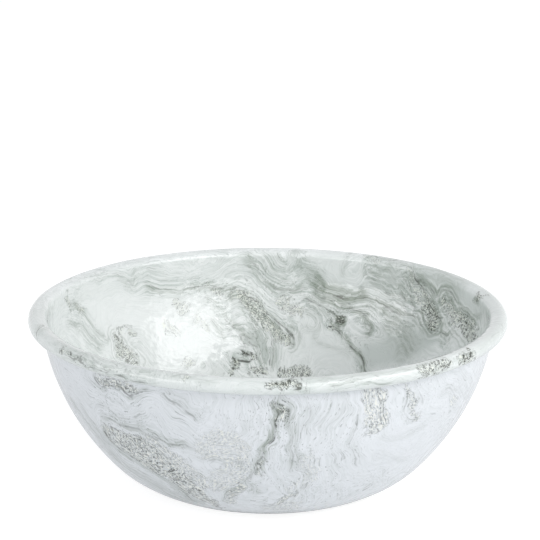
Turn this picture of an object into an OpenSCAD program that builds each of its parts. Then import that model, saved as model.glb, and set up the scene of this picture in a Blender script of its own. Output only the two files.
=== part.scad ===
// Enamel bowl: one drawn steel pressing with a rolled rim, and the glass coats fused over both its faces.
// Millimetres. The origin is the middle of the flat foot on the table, and +Z is the bowl's axis.

/* [Bowl] */
// Diameter over the rolled rim
rim_d = 260; // [245:1:275]
// Height from the table to the top of the rim
bowl_h = 95; // [90:0.5:100]
// Outside radius of the upper wall's curve
body_r = 133; // [126:1:145]
// Outside radius of the lower wall's curve
lower_r = 50; // [44:1:56]
// Outside radius of the heel, where the wall leaves the foot
heel_r = 16; // [12:0.5:20]
// Slope at which the heel passes into the lower wall, in degrees
heel_angle = 16; // [12:0.5:20]
// Slope of the wall where it meets the rim, in degrees
lip_angle = 82.5; // [80:0.5:85]
// Length of the straight wall below the rolled rim
lip_l = 4.3; // [4:0.1:6]

/* [Rolled rim] */
// Diameter of the rolled bead, over its glass
bead_d = 8.1; // [7:0.1:10]
// Gap between the rolled edge and the wall
rim_gap = 0.4; // [0.3:0.05:0.8]

/* [Foot] */
// Width of the flat ring that the bowl stands on
foot_w = 6; // [4:0.5:12]
// Height by which the middle of the base is pushed up
panel_rise = 0.8; // [0.4:0.1:1.5]
// Radius of the two bends round the pushed-up panel, on the upper face of the steel
panel_bend_r = 4; // [3:0.5:8]

/* [Steel and glass] */
// Thickness of the steel sheet
sheet_t = 0.8; // [0.6:0.05:1]
// Thickness of the ground coat
ground_t = 0.15; // [0.1:0.01:0.2]
// Thickness of the marbled cover coat
cover_t = 0.25; // [0.15:0.01:0.35]

/* [Firing marks] */
// Number of marks that the firing pins leave under the base
pin_n = 3; // [3:1:6]
// Distance from the edge of the pushed-up panel in to the middle of a mark
pin_inset = 17.5; // [6:0.5:22]
// Diameter of a mark at the surface of the glass
pin_d = 1.8; // [1.2:0.1:3]
// Diameter of a mark at its bottom, where the ground coat shows
pin_tip_d = 1; // [0.5:0.1:1]

/* [Hidden] */
$fn = 180;
// Overrun of a cut past the face that it goes through
overrun = 0.05;
// Largest gap between a true arc and its chords
chord_gap = 0.008;

// Glass on one face of the steel, and everything from the steel's food-side face to the outside
skin_t = ground_t + cover_t;
out_t = sheet_t + skin_t;
wall_t = out_t + skin_t;

// Direction at an angle from +X, such as up a wall of that slope, and the direction out of the bowl there
function along(angle) = [cos(angle), sin(angle)];
function away(slope) = along(slope - 90);

// Rim: the sheet rolls outwards about the middle of the bead, from the top of the straight lip
bead_r = bead_d / 2;
curl_r = bead_r - skin_t;
bead_c = [rim_d / 2 - bead_r, bowl_h - bead_r];
lip_foot = bead_c - curl_r * away(lip_angle) - lip_l * along(lip_angle);

// Polar angles about the bead where the roll starts, level with the lip, and where the steel, the ground coat
// that wraps its cut edge and the cover coat end. The cover coat ends rim_gap from the wall.
roll_start = lip_angle + 90;
cover_end = roll_start - 360 + acos((bead_r - wall_t - rim_gap) / bead_r);
ground_end = cover_end + cover_t / curl_r * 180 / PI;
steel_end = ground_end + ground_t / curl_r * 180 / PI;
roll_stops = [roll_start, steel_end, ground_end, cover_end];
at_steel = 1;
at_ground = 2;
at_cover = 3;

// Wall: three tangent arcs, from the foot up to the lip. The slope at which the lower arc passes into the
// upper one is the one where all three add up to the height of the lip.
lip_out = lip_foot + out_t * away(lip_angle);
heel_rise = heel_r * (1 - cos(heel_angle));
body_angle = acos((lip_out[1] - heel_rise + body_r * cos(lip_angle) - lower_r * cos(heel_angle))
    / (body_r - lower_r));
body_c = lip_out - body_r * away(lip_angle);
lower_c = body_c + (body_r - lower_r) * away(body_angle);
heel_c = lower_c + (lower_r - heel_r) * away(heel_angle);

// Base: the sheet steps down from the panel to the standing ring in two equal bends
panel_turn = acos(1 - panel_rise / (2 * panel_bend_r));
step_c = [heel_c[0] - foot_w, out_t + panel_bend_r];
panel_c = step_c + 2 * panel_bend_r * away(-panel_turn);
panel_z = out_t + panel_rise;

// Points along a bend of the sheet about a centre, after its first point, between two polar angles. r is the
// radius of the steel's food-side face, and the points lie the distance out outside that radius.
function bend(centre, r, out, from, to) =
    let (steps = ceil(abs(to - from) / (2 * acos(1 - chord_gap / r))))
    [for (i = [1 : steps]) let (a = from + (to - from) * i / steps) centre + (r + out) * along(a)];

// The wall from the axis to the top of the lip, as the line at a depth below the steel's food-side face.
// The depth is less than zero in the glass on the food side.
function wall_line(depth) = concat(
    [[0, panel_z - depth], [panel_c[0], panel_z - depth]],
    bend(panel_c, panel_bend_r, -depth, 90, 90 - panel_turn),
    bend(step_c, panel_bend_r, depth, -90 - panel_turn, -90),
    [[heel_c[0], out_t - depth]],
    bend(heel_c, heel_r - out_t, depth, -90, heel_angle - 90),
    bend(lower_c, lower_r - out_t, depth, heel_angle - 90, body_angle - 90),
    bend(body_c, body_r - out_t, depth, body_angle - 90, lip_angle - 90),
    [lip_foot + lip_l * along(lip_angle) + depth * away(lip_angle)]
);

// The line's stretch round the bead from one stop to the next, after its first point, and that first point
function roll_span(depth, stop) = bend(bead_c, curl_r, -depth, roll_stops[stop], roll_stops[stop + 1]);
function roll_point(depth, stop) = bead_c + (curl_r - depth) * along(roll_stops[stop]);

// The whole line, up the wall and round the bead to a stop
function sheet_line(depth, stop) = concat(
    wall_line(depth),
    [for (i = [0 : stop - 1]) each roll_span(depth, i)]
);

function reverse(points) = [for (i = [len(points) - 1 : -1 : 0]) points[i]];

// A layer turned about the bowl's axis, from the lines along its food side and its outside
module turned(inner, outer) {
    rotate_extrude() polygon(concat(inner, reverse(outer)));
}

// Pits that the firing pins leave through the cover coat under the base
module pin_marks() {
    circle_r = panel_c[0] - pin_inset;
    slant = (pin_d - pin_tip_d) / 2 / cover_t * overrun;
    for (i = [0 : pin_n - 1]) {
        rotate([0, 0, 360 * i / pin_n])
            translate([circle_r, 0, panel_rise - overrun])
                cylinder(r1 = pin_d / 2 + slant, r2 = pin_tip_d / 2 - slant, h = cover_t + 2 * overrun);
    }
}

// Drawn steel bowl with its rolled edge
module steel_shell() {
    color("dimgray")
        turned(sheet_line(0, at_steel), sheet_line(sheet_t, at_steel));
}

// Dark ground coat on the food side, over the bead and round the cut edge of the sheet
module ground_coat_inside() {
    color("darkslategray")
        turned(
            sheet_line(-ground_t, at_ground),
            concat(sheet_line(0, at_steel), [roll_point(sheet_t, at_steel)], roll_span(sheet_t, at_steel))
        );
}

// Dark ground coat under the base, up the outside and into the hollow of the bead
module ground_coat_outside() {
    color("darkslategray")
        turned(sheet_line(sheet_t, at_ground), sheet_line(sheet_t + ground_t, at_ground));
}

// Marbled cover coat on the food side, over the bead and round its edge
module cover_coat_inside() {
    hollow_depth = sheet_t + ground_t;
    color([0.91, 0.93, 0.92])
        turned(
            sheet_line(-skin_t, at_cover),
            concat(
                sheet_line(-ground_t, at_ground),
                [roll_point(hollow_depth, at_ground)],
                roll_span(hollow_depth, at_ground)
            )
        );
}

// Marbled cover coat under the base and up the outside to the hollow of the bead
module cover_coat_outside() {
    color([0.86, 0.88, 0.88])
        difference() {
            turned(wall_line(sheet_t + ground_t), wall_line(out_t));
            pin_marks();
        }
}

steel_shell();
ground_coat_inside();
ground_coat_outside();
cover_coat_inside();
cover_coat_outside();
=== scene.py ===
import math

import bpy
import numpy as np
from mathutils import Matrix, Vector


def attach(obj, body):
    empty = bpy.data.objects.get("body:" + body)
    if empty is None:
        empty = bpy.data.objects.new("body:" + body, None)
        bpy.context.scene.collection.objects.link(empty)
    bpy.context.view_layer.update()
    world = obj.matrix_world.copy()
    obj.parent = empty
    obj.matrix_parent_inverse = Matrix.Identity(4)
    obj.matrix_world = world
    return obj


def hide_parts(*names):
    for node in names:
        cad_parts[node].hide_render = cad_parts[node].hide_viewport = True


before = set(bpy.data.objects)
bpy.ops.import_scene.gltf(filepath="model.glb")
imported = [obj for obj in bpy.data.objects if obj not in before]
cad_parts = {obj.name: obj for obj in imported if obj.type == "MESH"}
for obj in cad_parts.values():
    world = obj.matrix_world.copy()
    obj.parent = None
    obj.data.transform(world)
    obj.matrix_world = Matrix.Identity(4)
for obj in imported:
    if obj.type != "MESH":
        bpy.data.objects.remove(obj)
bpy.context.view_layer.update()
print("frame: loaded", len(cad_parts), "nodes")

# Sizes are in millimetres here, as in the CAD source, and go into the meshes in metres
metres = 0.001
tau = 2 * math.pi


# Camera and studio

cameraView = {
    "place": (0.0, -748.5, 310.55),  # mm, with the bowl standing at the origin
    "pitchDown": 14.74,              # degrees
    "yawRight": 0.078,
    "roll": 0.23,
    "focalPixels": 1421.0,           # in a frame 540 pixels wide
    "frameWidth": 540.0,
    "sensorWidth": 36.0,
    "clip": (0.01, 60.0),            # metres
}

studio = {
    "worldColor": (0.93, 0.96, 1.0),
    "worldStrength": 0.575,
    # Each softbox: degrees round from the camera's side to the right, degrees above the floor, metres from
    # the bowl, width and height in metres, power in watts
    "softboxes": {
        "key": (54.0, 33.5, 1.25, (1.14, 0.58), 4.8),
        "fill": (38.0, 24.0, 2.2, (2.6, 1.6), 15.6),
        "left": (-60.0, 12.0, 1.8, (1.8, 0.6), 7.2),
    },
    "aimHeight": 0.05,          # metres above the floor
    "floorColor": (0.86, 0.87, 0.88),
    "shadowColor": (0.3, 0.3, 0.3),
    "floorWhite": 0.86,         # how much of the floor's white the camera sees whatever falls on it
    "floorSize": 12.0,
    "nearFloor": (0.15, 0.50),  # metres from the axis: from the outer ring in, reflections see some of the
    "nearShare": 0.6,           # floor's own shade, and inside the foot's ring they see only that
    "footRing": (0.067, 0.074),
}


def aimed(angle, height, distance, target):
    # A place at an angle round the bowl, at a height in degrees and a distance from the target
    a, e = math.radians(angle), math.radians(height)
    return Vector((math.sin(a) * math.cos(e), -math.cos(a) * math.cos(e), math.sin(e))) * distance + target


def makeCamera(look):
    a, b, r = (math.radians(look[k]) for k in ("pitchDown", "yawRight", "roll"))
    forward = Vector((math.sin(b) * math.cos(a), math.cos(b) * math.cos(a), -math.sin(a)))
    right = forward.cross(Vector((0, 0, 1))).normalized()
    up = right.cross(forward)
    rolledRight = right * math.cos(r) + up * math.sin(r)
    rolledUp = up * math.cos(r) - right * math.sin(r)
    data = bpy.data.cameras.new("photoCamera")
    data.sensor_width = look["sensorWidth"]
    data.lens = look["focalPixels"] * look["sensorWidth"] / look["frameWidth"]
    data.clip_start, data.clip_end = look["clip"]
    camera = bpy.data.objects.new("photoCamera", data)
    camera.matrix_world = Matrix.Translation(Vector(look["place"]) * metres) @ Matrix(
        (rolledRight, rolledUp, -forward)).transposed().to_4x4()
    bpy.context.scene.collection.objects.link(camera)
    bpy.context.scene.camera = camera


def makeSoftbox(name, angle, height, distance, size, power):
    target = Vector((0, 0, studio["aimHeight"]))
    data = bpy.data.lights.new(name, "AREA")
    data.shape = "RECTANGLE"
    data.size, data.size_y = size
    data.energy = power
    lamp = bpy.data.objects.new(name, data)
    lamp.location = aimed(angle, height, distance, target)
    lamp.rotation_euler = (target - lamp.location).to_track_quat("-Z", "Y").to_euler()
    bpy.context.scene.collection.objects.link(lamp)


# Shader helpers

class Signal:
    # A node's output that can stand in a formula: each operation on it adds a Math or Map Range node
    def __init__(self, tree, socket):
        self.tree, self.socket = tree, socket

    def math(self, operation, *others, clamp=False):
        return outOf(self.tree, "ShaderNodeMath", dict(enumerate((self,) + others)), operation=operation,
                     use_clamp=clamp)

    def before(self, operation, other):
        # The operation with the other value first
        return outOf(self.tree, "ShaderNodeMath", {0: other, 1: self}, operation=operation)

    def __add__(self, other):
        return self.math("ADD", other)

    def __mul__(self, other):
        return self.math("MULTIPLY", other)

    __radd__, __rmul__ = __add__, __mul__

    def __sub__(self, other):
        return self.math("SUBTRACT", other)

    def __rsub__(self, other):
        return self.before("SUBTRACT", other)

    def __truediv__(self, other):
        return self.math("DIVIDE", other)

    def __rtruediv__(self, other):
        return self.before("DIVIDE", other)

    def __rpow__(self, other):
        return self.before("POWER", other)

    def __abs__(self):
        return self.math("ABSOLUTE")

    def ramp(self, low, high, toLow=0.0, toHigh=1.0):
        # low..high becomes toLow..toHigh, eased at both ends and held past them
        return outOf(self.tree, "ShaderNodeMapRange", {"Value": self, "From Min": low, "From Max": high,
                     "To Min": toLow, "To Max": toHigh}, "Result", interpolation_type="SMOOTHSTEP")


def feed(tree, socket, value):
    if isinstance(value, Signal):
        tree.links.new(value.socket, socket)
    else:
        socket.default_value = value


def addNode(tree, kind, inputs=None, **settings):
    made = tree.nodes.new(kind)
    for key, value in settings.items():
        setattr(made, key, value)
    for key, value in (inputs or {}).items():
        feed(tree, made.inputs[key], value)
    return made


def outOf(tree, kind, inputs=None, output=0, **settings):
    return Signal(tree, addNode(tree, kind, inputs, **settings).outputs[output])


def blendColor(tree, share, first, second):
    # The Mix node's sockets 0, 6 and 7 and its output 2 are the ones for colours
    return outOf(tree, "ShaderNodeMix", {0: share, 6: first, 7: second}, 2, data_type="RGBA",
                 blend_type="MIX", clamp_factor=True)


def noiseOf(tree, point, scale, detail=2.0, roughness=0.5):
    inputs = {"Vector": point, "Scale": scale, "Detail": detail, "Roughness": roughness}
    return outOf(tree, "ShaderNodeTexNoise", inputs, "Fac")


def objectPlace(tree, scale=1.0):
    place = outOf(tree, "ShaderNodeTexCoord", output="Object")
    return outOf(tree, "ShaderNodeVectorMath", {0: place, 3: scale}, operation="SCALE")


def bumped(tree, height, strength, distance):
    return outOf(tree, "ShaderNodeBump", {"Height": height, "Strength": strength, "Distance": distance})


def mixedShader(tree, share, first, second):
    return outOf(tree, "ShaderNodeMixShader", {0: share, 1: first, 2: second})


def newGroup(name, inputs, outputs):
    # inputs are labels and first values, and outputs labels. Those of colours end in Color.
    group = bpy.data.node_groups.new(name, "ShaderNodeTree")

    def addSocket(label, way):
        kind = "NodeSocketColor" if label.endswith("Color") else "NodeSocketFloat"
        return group.interface.new_socket(label, in_out=way, socket_type=kind)

    for label, value in inputs.items():
        addSocket(label, "INPUT").default_value = value
    for label in outputs:
        addSocket(label, "OUTPUT")
    entry, leave = addNode(group, "NodeGroupInput").outputs, addNode(group, "NodeGroupOutput").inputs
    return group, {label: Signal(group, entry[label]) for label in inputs}, leave


def placeGroup(tree, group, inputs):
    return {label: Signal(tree, socket) for label, socket in
            addNode(tree, "ShaderNodeGroup", node_tree=group, inputs=inputs).outputs.items()}


def newTree(owner):
    owner.use_nodes = True
    owner.node_tree.nodes.clear()
    return owner.node_tree


def newMaterial(name):
    material = bpy.data.materials.new(name)
    tree = newTree(material)
    shader = addNode(tree, "ShaderNodeBsdfPrincipled")
    addNode(tree, "ShaderNodeOutputMaterial", {"Surface": Signal(tree, shader.outputs[0])})
    return material, tree, shader.inputs


def rgb(red, green, blue):
    return (red, green, blue, 1.0)


def makeFloor():
    # A pale floor: the camera and mirror-like reflections see it nearly white, less the shadow on it
    half = studio["floorSize"] / 2
    mesh = bpy.data.meshes.new("paleFloor")
    mesh.from_pydata([(x, y, 0) for x, y in ((-half, -half), (half, -half), (half, half), (-half, half))], [],
                     [(0, 1, 2, 3)])
    floor = bpy.data.objects.new("paleFloor", mesh)
    bpy.context.scene.collection.objects.link(floor)
    material = bpy.data.materials.new("paleFloor")
    tree = newTree(material)
    camera, glossy, through = (outOf(tree, "ShaderNodeLightPath", output="Is " + kind + " Ray")
                               for kind in ("Camera", "Glossy", "Transmission"))
    matt, dim = (outOf(tree, "ShaderNodeBsdfDiffuse", {"Color": rgb(*studio[key])})
                 for key in ("floorColor", "shadowColor"))
    white = outOf(tree, "ShaderNodeEmission", {"Color": rgb(1, 1, 1), "Strength": studio["floorWhite"]})
    shown = outOf(tree, "ShaderNodeAddShader", {0: dim, 1: white})
    fromAxis = outOf(tree, "ShaderNodeVectorMath", {0: objectPlace(tree)}, "Value", operation="LENGTH")
    mirrored = (fromAxis.ramp(*studio["nearFloor"], 1 - studio["nearShare"], 1.0)
                * fromAxis.ramp(*studio["footRing"]) * glossy)
    seen = camera.math("MAXIMUM", mirrored).math("MAXIMUM", through)
    addNode(tree, "ShaderNodeOutputMaterial", {"Surface": mixedShader(tree, seen, matt, shown)})
    mesh.materials.append(material)


def makeWorld():
    world = bpy.data.worlds.new("paleRoom")
    tree = newTree(world)
    camera, glossy = (outOf(tree, "ShaderNodeLightPath", output="Is " + kind + " Ray")
                      for kind in ("Camera", "Glossy"))
    room, white = (outOf(tree, "ShaderNodeBackground", {"Color": rgb(*color), "Strength": strength})
                   for color, strength in ((studio["worldColor"], studio["worldStrength"]), ((1, 1, 1), 1.0)))
    surface = mixedShader(tree, camera.math("MAXIMUM", glossy), room, white)
    addNode(tree, "ShaderNodeOutputWorld", {"Surface": surface})
    bpy.context.scene.world = world


makeCamera(cameraView)
makeWorld()
makeFloor()
for name, box in studio["softboxes"].items():
    makeSoftbox(name + "Softbox", *box)
bpy.context.scene.view_settings.view_transform = "Standard"
print("studio: camera, floor and lights")


# The bowl's section, with the CAD source's own sizes and formulas

section = {
    "rimDiameter": 260.0, "height": 95.0,
    "bodyRadius": 133.0, "lowerRadius": 50.0, "heelRadius": 16.0,
    "heelAngle": 16.0, "lipAngle": 82.5, "lipLength": 4.3,
    "beadDiameter": 8.1, "rimGap": 0.4,
    "footWidth": 6.0, "panelRise": 0.8, "panelBendRadius": 4.0,
    "sheet": 0.8, "ground": 0.15, "cover": 0.25,
    "pinInset": 17.5, "pinSize": 1.8, "pinTip": 1.0, "pinAngles": (0, 120, 240),
}


def along(angle):
    return np.array((math.cos(math.radians(angle)), math.sin(math.radians(angle))))


def away(slope):
    return along(slope - 90)


def workOutSection(size):
    # Three tangent arcs from the foot to the lip, then the sheet rolls outwards round the middle of the bead
    made = dict(size)
    skin = size["ground"] + size["cover"]
    outer = size["sheet"] + skin
    beadRadius = size["beadDiameter"] / 2
    curlRadius = beadRadius - skin
    beadCentre = np.array((size["rimDiameter"] / 2 - beadRadius, size["height"] - beadRadius))
    lip, heel = size["lipAngle"], size["heelAngle"]
    lipFoot = beadCentre - curlRadius * away(lip) - size["lipLength"] * along(lip)
    lipOut = lipFoot + outer * away(lip)
    heelRise = size["heelRadius"] * (1 - along(heel)[0])
    body, lower = size["bodyRadius"], size["lowerRadius"]
    bodyAngle = math.degrees(math.acos(
        (lipOut[1] - heelRise + body * along(lip)[0] - lower * along(heel)[0]) / (body - lower)))
    bodyCentre = lipOut - body * away(lip)
    lowerCentre = bodyCentre + (body - lower) * away(bodyAngle)
    heelCentre = lowerCentre + (lower - size["heelRadius"]) * away(heel)
    bend = size["panelBendRadius"]
    turn = math.degrees(math.acos(1 - size["panelRise"] / (2 * bend)))
    stepCentre = np.array((heelCentre[0] - size["footWidth"], outer + bend))
    rollStart = lip + 90
    coverEnd = rollStart - 360 + math.degrees(
        math.acos((beadRadius - outer - skin - size["rimGap"]) / beadRadius))
    groundEnd = coverEnd + math.degrees(size["cover"] / curlRadius)
    steelEnd = groundEnd + math.degrees(size["ground"] / curlRadius)
    made.update(skin=skin, outer=outer, beadRadius=beadRadius, curlRadius=curlRadius, beadCentre=beadCentre,
                lipFoot=lipFoot, bodyAngle=bodyAngle, bodyCentre=bodyCentre, lowerCentre=lowerCentre,
                heelCentre=heelCentre, turn=turn, stepCentre=stepCentre,
                panelCentre=stepCentre + 2 * bend * away(-turn), panelTop=outer + size["panelRise"],
                rollStops=(rollStart, steelEnd, groundEnd, coverEnd))
    return made


bowl = workOutSection(section)


def straight(start, end, step):
    # Points from start to end, without the first, about step apart
    start, end = np.asarray(start, float), np.asarray(end, float)
    count = max(1, math.ceil(np.hypot(*(end - start)) / step))
    return start + (end - start) * (np.arange(1, count + 1) / count)[:, None]


def arc(centre, radius, fromAngle, toAngle, step):
    # Points round a centre at centre + radius * (cos a, sin a), without the first, about step apart
    count = max(2, math.ceil(math.radians(abs(toAngle - fromAngle)) * abs(radius) / step))
    a = np.radians(fromAngle + (toAngle - fromAngle) * np.arange(1, count + 1) / count)
    return centre + radius * np.stack((np.cos(a), np.sin(a)), 1)


def wallLine(depth, steps):
    # The wall from the axis to the top of the lip, at a depth below the steel's food-side face.
    # steps are the spacing of the points on the flat base, in its bends, on the wall and at the lip
    flat, tight, wall, lip = steps
    top, low = bowl["panelTop"] - depth, bowl["outer"] - depth
    panel, step, bend = bowl["panelCentre"], bowl["stepCentre"], bowl["panelBendRadius"]
    parts = [np.array(((0.0, top),)), straight((0, top), (panel[0], top), flat),
             arc(panel, bend - depth, 90, 90 - bowl["turn"], tight),
             arc(step, bend + depth, -90 - bowl["turn"], -90, tight),
             straight((step[0], low), (bowl["heelCentre"][0], low), tight)]
    stops = (0.0, bowl["heelAngle"], bowl["bodyAngle"], bowl["lipAngle"])
    for name, start, end in zip(("heel", "lower", "body"), stops, stops[1:]):
        radius = bowl[name + "Radius"] - bowl["outer"] + depth
        parts.append(arc(bowl[name + "Centre"], radius, start - 90, end - 90, wall))
    end = bowl["lipFoot"] + bowl["lipLength"] * along(bowl["lipAngle"]) + depth * away(bowl["lipAngle"])
    parts.append(straight(parts[-1][-1], end, lip))
    return np.concatenate(parts)


def rollLine(depth, firstStop, lastStop, step):
    # The line's stretch round the bead between two stops, without its first point
    stops = bowl["rollStops"]
    return arc(bowl["beadCentre"], bowl["curlRadius"] - depth, stops[firstStop], stops[lastStop], step)


def rollPoint(depth, stop):
    return (bowl["beadCentre"] + (bowl["curlRadius"] - depth) * along(bowl["rollStops"][stop]))[None]


def shoulderedLine(line, shoulder, beadStep):
    # The food side's line with a broad rim: above wallFrom the wall follows a cubic that ends upright at
    # wallRadius, turns over an arc about the shoulder's centre, runs straight along the common tangent of
    # that arc and the bead, and goes on round the bead to the end of the steel
    kept = line[line[:, 1] < shoulder["wallFrom"]]
    start, leave = kept[-1], kept[-1] - kept[-2]
    end = np.array((shoulder["wallRadius"], shoulder["centreHeight"]))
    reach = np.hypot(*(end - start))
    leave, arrive = leave / np.hypot(*leave) * reach, np.array((0.0, reach))
    t = (np.arange(1, shoulder["wallSteps"] + 1) / shoulder["wallSteps"])[:, None]
    upper = ((2 * t ** 3 - 3 * t ** 2 + 1) * start + (t ** 3 - 2 * t ** 2 + t) * leave
             + (3 * t ** 2 - 2 * t ** 3) * end + (t ** 3 - t ** 2) * arrive)
    radius, bead, beadRadius = shoulder["radius"], bowl["beadCentre"], bowl["beadRadius"]
    centre = end + (radius, 0.0)
    gap = bead - centre
    touch = math.degrees(math.atan2(gap[1], gap[0]) + math.acos((radius - beadRadius) / np.hypot(*gap)))
    over = arc(centre, radius, 180, touch, beadStep)
    top = straight(over[-1], bead + beadRadius * along(touch), beadStep)
    rolled = arc(bead, beadRadius, touch, bowl["rollStops"][1], beadStep)
    return np.concatenate((kept, upper, over, top, rolled)), len(kept), len(rolled)


def distancesAlong(line):
    return np.concatenate(([0.0], np.cumsum(np.hypot(*np.diff(line, axis=0).T))))


def turned(line, ringCount):
    # Each point (r, z) of the line at ringCount places round the axis: r cos a, r sin a, z
    a = np.arange(ringCount) * tau / ringCount
    r, z = line[:, :1], line[:, 1:]
    return np.stack((r * np.cos(a), r * np.sin(a), np.broadcast_to(z, (len(line), ringCount))),
                    -1).reshape(-1, 3)


def turnedMesh(name, loop, ringCount, moved):
    # A closed shell: the open polygon loop, whose ends lie on the axis, goes round the axis in ringCount
    # steps. moved are offsets for its points, in their order.
    rings = len(loop) - 2
    points = turned(loop[1:-1], ringCount) + moved
    points = np.concatenate((points, ((0, 0, loop[0, 1]), (0, 0, loop[-1, 1]))))
    j = np.arange(ringCount)
    k = (j + 1) % ringCount
    low = (np.arange(rings - 1) * ringCount)[:, None]
    quads = np.stack((low + j, low + k, low + ringCount + k, low + ringCount + j), -1).reshape(-1, 4)
    first, last = len(points) - 2, len(points) - 1
    lastRing = (rings - 1) * ringCount
    fans = np.concatenate((np.stack((np.full(ringCount, first), k, j), 1),
                           np.stack((np.full(ringCount, last), lastRing + j, lastRing + k), 1)))
    # Six times the enclosed volume, which is below zero where the faces point inwards
    triangles = np.concatenate((quads[:, :3], quads[:, (0, 2, 3)], fans))
    a, b, c = (points[triangles[:, n]] for n in range(3))
    if np.einsum("ij,ij->", a, np.cross(b, c)) < 0:
        quads, fans = quads[:, ::-1], fans[:, ::-1]
    mesh = bpy.data.meshes.new(name)
    mesh.vertices.add(len(points))
    mesh.vertices.foreach_set("co", (points * metres).astype(np.float32).ravel())
    corners = np.concatenate((quads.ravel(), fans.ravel())).astype(np.int32)
    mesh.loops.add(len(corners))
    mesh.loops.foreach_set("vertex_index", corners)
    mesh.polygons.add(len(quads) + len(fans))
    starts = np.concatenate((np.arange(len(quads)) * 4, len(quads) * 4 + np.arange(len(fans)) * 3))
    mesh.polygons.foreach_set("loop_start", starts.astype(np.int32))
    mesh.polygons.foreach_set("use_smooth", np.ones(len(starts), bool))
    mesh.update()
    mesh.validate()
    piece = bpy.data.objects.new(name, mesh)
    bpy.context.scene.collection.objects.link(piece)
    return piece, points


def setField(piece, name, values):
    field = piece.data.attributes.new(name, "FLOAT", "POINT")
    field.data.foreach_set("value", values.astype(np.float32))


# Marbling. Places are (degrees round the bowl, mm along its section from the axis). Each vein is
# (ink of its dark line, strength of its sage band, band's half width in mm, band's shift to the left in mm,
# path). Each speckled patch is (strength, strength of the contour lines round it, its middle line as
# (degrees, mm along, half width in mm)).

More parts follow.
